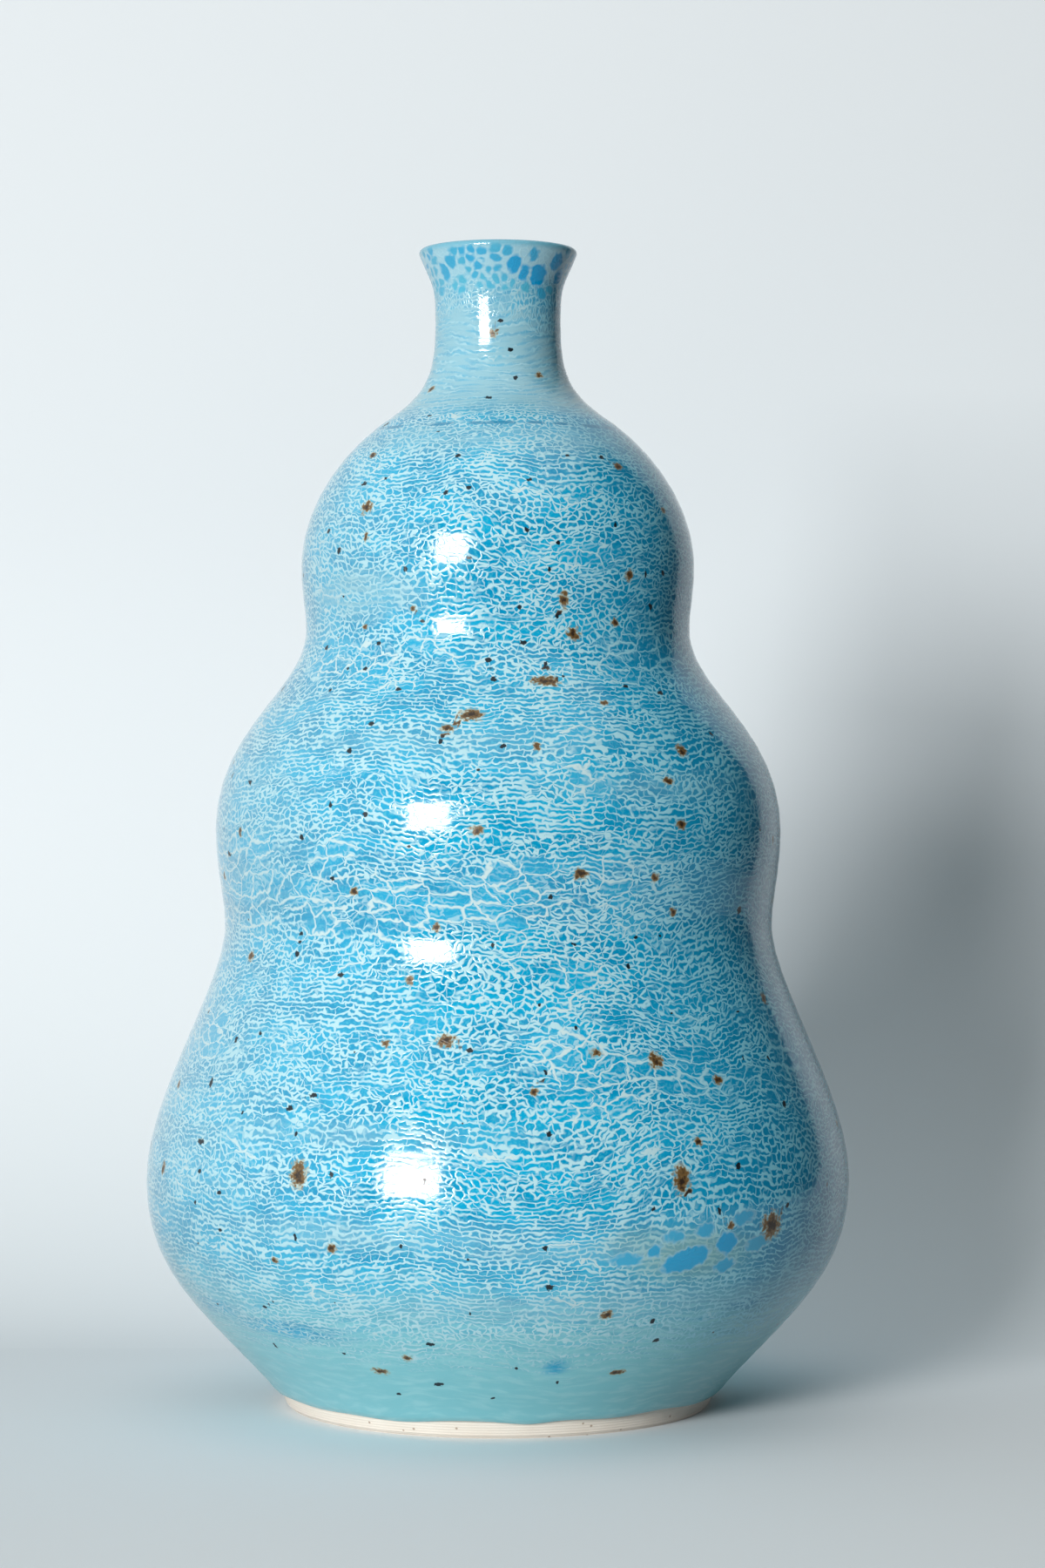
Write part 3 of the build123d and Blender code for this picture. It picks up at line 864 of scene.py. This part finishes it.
    # Iron specks: black dots, and rusty ones with a dark heart and a tan rim
    way = addNode(tree, "Attribute", {"attribute_name": "speckWay"}, out="Vector")
    close = addNode(tree, "Attribute", {"attribute_name": "speckGap"}, out="Fac")
    rusty = addNode(tree, "SeparateXYZ", {}, [way], 2)
    flatWay = addNode(tree, "VectorMath", times, [way, (1, 1, 0)])
    reach = addNode(tree, "VectorMath", length, [flatWay], "Value")
    frayed = addNode(tree, "Math", timesPlus, [tear, 1.3, reach])
    frayed = addNode(tree, "Math", timesPlus, [sand, 1.7, frayed])
    near = addNode(tree, "MapRange", {}, [close, 0.8, 1.4, 1.0, 0.0])
    heart = addNode(tree, "MapRange", soft, [frayed, 2.3, 2.55, 1.0, 0.0])
    heart = addNode(tree, "Math", times, [heart, near])
    halo = addNode(tree, "MapRange", soft, [frayed, 2.4, 3.1, 0.7, 0.0])
    halo = addNode(tree, "Math", times, [halo, near])
    halo = addNode(tree, "Math", times, [halo, rusty])
    haloed = addNode(tree, "Mix", rgba, {0: halo, 6: beaded, 7: tint["rustHalo"]}, 2)
    core = addNode(tree, "MapRange", soft, [frayed, 1.6, 2.3])
    rust = addNode(tree, "Mix", rgba, {0: core, 6: tint["rustCore"], 7: tint["rust"]}, 2)
    iron = addNode(tree, "Mix", rgba, {0: rusty, 6: tint["black"], 7: rust}, 2)
    colour = addNode(tree, "Mix", rgba, {0: heart, 6: haloed, 7: iron}, 2)

    # Wet gloss on the crackle, satin on the teal, dry on the iron
    rough = addNode(tree, "MapRange", {}, [laid, 0.0, 1.0, crackle["satin"], crackle["gloss"]])
    rough = addNode(tree, "Math", timesPlus, [net, 0.05, rough])
    rough = addNode(tree, "Math", timesPlus, [heart, 0.25, rough])

    # Relief: threads stand a little over the cells
    raised = {"Height": net, "Distance": crackle["relief"] * mm, "Strength": 0.8}
    bump = addNode(tree, "Bump", {}, raised)
    surface = {"Base Color": colour, "Roughness": rough, "Normal": bump, "IOR": 1.5}
    shader = addNode(tree, "BsdfPrincipled", {}, surface)
    addNode(tree, "OutputMaterial", {}, {"Surface": shader})
    return material


glazeCoat.data.materials.append(crackleGlaze())
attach(glazeCoat, "root")
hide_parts("base_glaze", "crackle_glaze")
print("crackle glaze done")


# Stoneware: pale buff clay with fine grog, trimmed on the wheel and fired bare. To the eye: matte
# cream with sparse brown flecks and the fine level lines of the trimming tool.
stoneware = {
    "clay": "#f4ede4",
    "shade": "#e4d9cc",
    "fleck": "#8c6f52",
    "cloud": 9.0,  # mm
    "fleckGap": 3.2,
    "fleckSize": (0.06, 0.13),  # share of that gap, from full colour to none
    "sand": 0.5,
    "toolLine": 0.9,  # between trimming lines
    "lines": 0.5,  # how deep they are beside the sand
    "relief": 0.06,
    "roughness": 0.82,
}

# Joining slip: the same clay watered down, fired smooth and a little paler
slip = {
    **stoneware,
    "clay": "#e9e2d8",
    "shade": "#d9cfc2",
    "fleck": "#a58a6b",
    "fleckGap": 6.0,
    "toolLine": 1.6,
    "lines": 0.15,
    "roughness": 0.85,
}


def bareClay(name, clay):
    material, tree = newMaterial(name)
    place = placeInMm(tree)
    spread = {"Vector": place, "Scale": 1 / clay["cloud"], "Detail": 4.0}
    cloud = addNode(tree, "TexNoise", {}, spread)
    tones = {0: cloud, 6: linearColour(clay["clay"]), 7: linearColour(clay["shade"])}
    body = addNode(tree, "Mix", rgba, tones, 2)
    grog = addNode(tree, "TexVoronoi", {}, {"Vector": place, "Scale": 1 / clay["fleckGap"]})
    low, high = clay["fleckSize"]
    fleck = addNode(tree, "MapRange", soft, [grog, low, high, 0.7, 0.0])
    speckled = addNode(tree, "Mix", rgba, {0: fleck, 6: body, 7: linearColour(clay["fleck"])}, 2)

    # Trimming lines run round the foot, outside and underneath
    level = addNode(tree, "SeparateXYZ", {}, [place], 2)
    flat = addNode(tree, "VectorMath", times, [place, (1, 1, 0)])
    out = addNode(tree, "VectorMath", length, [flat], "Value")
    path = addNode(tree, "Math", {"operation": "ADD"}, [out, level])
    phase = addNode(tree, "Math", times, [path, 2 * math.pi / clay["toolLine"]])
    wave = addNode(tree, "Math", {"operation": "SINE"}, [phase])
    spread = {"Vector": place, "Scale": 1 / clay["sand"], "Detail": 3.0}
    sand = addNode(tree, "TexNoise", {}, spread)
    relief = addNode(tree, "Math", timesPlus, [wave, clay["lines"], sand])
    raised = {"Height": relief, "Distance": clay["relief"] * mm, "Strength": 0.7}
    bump = addNode(tree, "Bump", {}, raised)
    surface = {"Base Color": speckled, "Roughness": clay["roughness"], "Normal": bump}
    shader = addNode(tree, "BsdfPrincipled", {}, surface)
    addNode(tree, "OutputMaterial", {}, {"Surface": shader})
    return material


# Liner glaze: poured turquoise gloss. To the eye: even, wet, deeper where it pooled on the floor.
liner = {
    "thin": "#7fc0cd",
    "pooled": "#2f8aa3",
    "rim": "#a6d2de",
    "poolHeight": (11.0, 60.0),  # mm
    "rimHeight": (262.0, 279.0),
    "runSize": (14.0, 14.0, 3.0),
    "runReach": 30.0,  # that the runs move the pool's edge
    "relief": 0.15,
    "roughness": 0.12,
}


def linerGlaze():
    material, tree = newMaterial("linerGlaze")
    place = placeInMm(tree)
    level = addNode(tree, "SeparateXYZ", {}, [place], 2)
    squeeze = tuple(1 / size for size in liner["runSize"])
    pulled = addNode(tree, "VectorMath", times, [place, squeeze])
    run = addNode(tree, "TexNoise", {}, {"Vector": pulled, "Scale": 1.0, "Detail": 3.0})
    uneven = addNode(tree, "Math", timesPlus, [run, liner["runReach"], level])
    low, high = liner["poolHeight"]
    thin = addNode(tree, "MapRange", soft, [uneven, low, high])
    tones = {0: thin, 6: linearColour(liner["pooled"]), 7: linearColour(liner["thin"])}
    poured = addNode(tree, "Mix", rgba, tones, 2)
    low, high = liner["rimHeight"]
    edge = addNode(tree, "MapRange", soft, [level, low, high])
    colour = addNode(tree, "Mix", rgba, {0: edge, 6: poured, 7: linearColour(liner["rim"])}, 2)
    raised = {"Height": run, "Distance": liner["relief"] * mm, "Strength": 0.5}
    bump = addNode(tree, "Bump", {}, raised)
    surface = {"Base Color": colour, "Roughness": liner["roughness"], "Normal": bump, "IOR": 1.5}
    shader = addNode(tree, "BsdfPrincipled", {}, surface)
    addNode(tree, "OutputMaterial", {}, {"Surface": shader})
    return material


finishes = {
    "stoneware": bareClay("stoneware", stoneware),
    "slip": bareClay("joiningSlip", slip),
    "liner": linerGlaze(),
}
worn = {
    "stoneware": ("foot_section", "middle_section", "shoulder_section", "neck_section"),
    "slip": ("lower_seam", "upper_seam", "neck_seam"),
    "liner": ("liner_glaze",),
}
for finish, names in worn.items():
    for name in names:
        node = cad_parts[name]
        node.data.materials.clear()
        node.data.materials.append(finishes[finish])
print("clay, slip and liner finished")


# Set: a table of pale paper, a sweep of the same paper behind the pot, dark felt that only gloss
# shows, one softbox from the front left, a weaker lamp behind and a faint one below
paper = {
    "tint": "#e6ecf1",
    "tintFar": "#e1e8ee",
    "returned": "#9ea6ac",  # what it gives back to the pot and itself; it keeps the shadow dark
    "clouds": 3.0,  # of its tint, to a metre
    "back": 325.0,  # mm behind the axis
    "bend": 245.0,
    "left": 1000.0,
    "right": 430.0,
    "top": 1000.0,
    "table": (1000.0, 900.0, 800.0, 1300.0),  # mm to the left, right, front and back
    "strips": 9,  # points across, and along the table
    "bendSteps": 29,
}


def seenRays(tree):
    # 1 for the rays that show the set, straight to the camera or by way of gloss or glass
    rays = addNode(tree, "LightPath").node.outputs
    seen = rays["Is Camera Ray"]
    for kind in ("Is Glossy Ray", "Is Transmission Ray"):
        seen = addNode(tree, "Math", larger, [seen, rays[kind]])
    return seen


def paperFinish():
    material, tree = newMaterial("backdropPaper")  # matt seamless paper with a soft tooth
    where = addNode(tree, "TexCoord", out="Object")
    spread = {"Vector": where, "Scale": paper["clouds"], "Detail": 2.0}
    tooth = addNode(tree, "TexNoise", {}, spread)
    tints = {0: tooth, 6: linearColour(paper["tint"]), 7: linearColour(paper["tintFar"])}
    tint = addNode(tree, "Mix", rgba, tints, 2)
    tints = {0: seenRays(tree), 6: linearColour(paper["returned"]), 7: tint}
    tint = addNode(tree, "Mix", rgba, tints, 2)
    surface = {"Base Color": tint, "Roughness": 0.95, "Specular IOR Level": 0.1}
    shader = addNode(tree, "BsdfPrincipled", {}, surface)
    back = addNode(tree, "NewGeometry", out="Backfacing")  # from behind it is clear
    clear = addNode(tree, "BsdfTransparent")
    shader = addNode(tree, "MixShader", {}, [back, shader, clear])
    addNode(tree, "OutputMaterial", {}, {"Surface": shader})
    return material


def layPaper(name, line, left, right, finish):
    across = np.linspace(-left, right, paper["strips"])
    places = [(x * mm, y * mm, z * mm) for y, z in line for x in across]
    n = len(across)
    faces = []
    for i in range(len(line) - 1):
        for j in range(n - 1):
            faces.append((i * n + j, i * n + j + 1, (i + 1) * n + j + 1, (i + 1) * n + j))
    mesh = bpy.data.meshes.new(name)
    mesh.from_pydata(places, [], faces)
    mesh.polygons.foreach_set("use_smooth", [True] * len(faces))
    mesh.materials.append(finish)
    made = bpy.data.objects.new(name, mesh)
    made.visible_shadow = False
    scene.collection.objects.link(made)
    return made


paperMaterial = paperFinish()
tableLeft, tableRight, tableFront, tableBack = paper["table"]
tableLine = [(y, 0.0) for y in np.linspace(-tableFront, tableBack, paper["strips"])]
sweepStart = paper["back"] - paper["bend"]
sweepLine = [
    (sweepStart + paper["bend"] * math.sin(a), paper["bend"] * (1 - math.cos(a)))
    for a in np.linspace(0, math.pi / 2, paper["bendSteps"])
] + [(paper["back"], paper["top"])]
papers = [
    layPaper("tablePaper", tableLine, tableLeft, tableRight, paperMaterial),
    layPaper("sweepPaper", sweepLine, paper["left"], paper["right"], paperMaterial),
]

# Dark felt round the camera's side and the right of the set: only the gloss shows it
felt = {
    "tint": "#202326",
    "corners": ((-2600.0, -2800.0), (1500.0, -2800.0), (1500.0, 1400.0)),  # mm, seen from above
    "rise": (-300.0, 2500.0),
}
feltMaterial, feltTree = newMaterial("darkFelt")
surface = {"Base Color": linearColour(felt["tint"]), "Roughness": 0.95}
matte = addNode(feltTree, "BsdfPrincipled", {}, surface)
addNode(feltTree, "OutputMaterial", {}, {"Surface": matte})
feltMesh = bpy.data.meshes.new("darkFelt")
feltPlaces = [(x * mm, y * mm, z * mm) for z in felt["rise"] for x, y in felt["corners"]]
feltMesh.from_pydata(feltPlaces, [], [(0, 1, 4, 3), (1, 2, 5, 4)])
feltMesh.materials.append(feltMaterial)
darkFelt = bpy.data.objects.new("darkFelt", feltMesh)
darkFelt.visible_camera = darkFelt.visible_diffuse = darkFelt.visible_transmission = False
darkFelt.visible_shadow = False
scene.collection.objects.link(darkFelt)

light = {
    # place, width and height in mm, watts
    "softbox": ((-1202.0, -2307.0, 705.0), (790.0, 860.0), 81.0),
    "backFill": ((0.0, 2400.0, 260.0), (600.0, 700.0), 46.0),  # low, to light the back alone
    "underFill": ((0.0, -1.0, -1500.0), (700.0, 700.0), 2.2),  # for the recess of the foot
    "aim": (0.0, 0.0, 140.0),
    "warmth": "#fffdf9",
    "room": "#eef0ea",
    "haze": "#e4eaee",  # what the camera sees past the paper
    "roomStrength": 1.15,
    "roomSide": (-0.15, 0.0, 0.99),  # where the room's pale ceiling is
    "roomEdge": 0.6,  # cosine of the angle from there at which it ends
}


def hangLamp(name, place, size, watts):
    lamp = bpy.data.lights.new(name, "AREA")
    lamp.shape = "RECTANGLE"
    lamp.size, lamp.size_y = (c * mm for c in size)
    lamp.energy = watts
    lamp.color = linearColour(light["warmth"])[:3]
    made = bpy.data.objects.new(name, lamp)
    made.location = [c * mm for c in place]
    x, y, z = np.array(light["aim"]) - np.array(place)
    made.rotation_euler = (math.pi / 2 + math.atan2(z, math.hypot(x, y)), 0, -math.atan2(x, y))
    scene.collection.objects.link(made)
    return made


lamps = {name: hangLamp(name, *light[name]) for name in ("softbox", "backFill", "underFill")}
underFill = lamps["underFill"]
underFill.data.cycles.use_multiple_importance_sampling = False  # else the table takes most of it
underFill.visible_glossy = False
skipped = bpy.data.collections.new("fillSkips")  # both fills leave the paper alone
for sheet in papers:
    skipped.objects.link(sheet)
for kept in skipped.collection_objects:
    kept.light_linking.link_state = "EXCLUDE"
for name in ("backFill", "underFill"):
    lamps[name].light_linking.receiver_collection = skipped

world = bpy.data.worlds.new("room")
world.use_nodes = True
world.node_tree.nodes.clear()
room = world.node_tree
facing = addNode(room, "TexCoord", out="Generated")
facing = addNode(room, "VectorMath", dot, [facing, light["roomSide"]], "Value")
glow = addNode(room, "MapRange", {}, [facing, light["roomEdge"], 1.0, 0.0, light["roomStrength"]])
sky = addNode(room, "Background", {}, {"Color": linearColour(light["room"]), "Strength": glow})
haze = addNode(room, "Background", {}, {"Color": linearColour(light["haze"])})
sky = addNode(room, "MixShader", {}, [seenRays(room), sky, haze])
addNode(room, "OutputWorld", {}, {"Surface": sky})
scene.world = world
print("set lit")
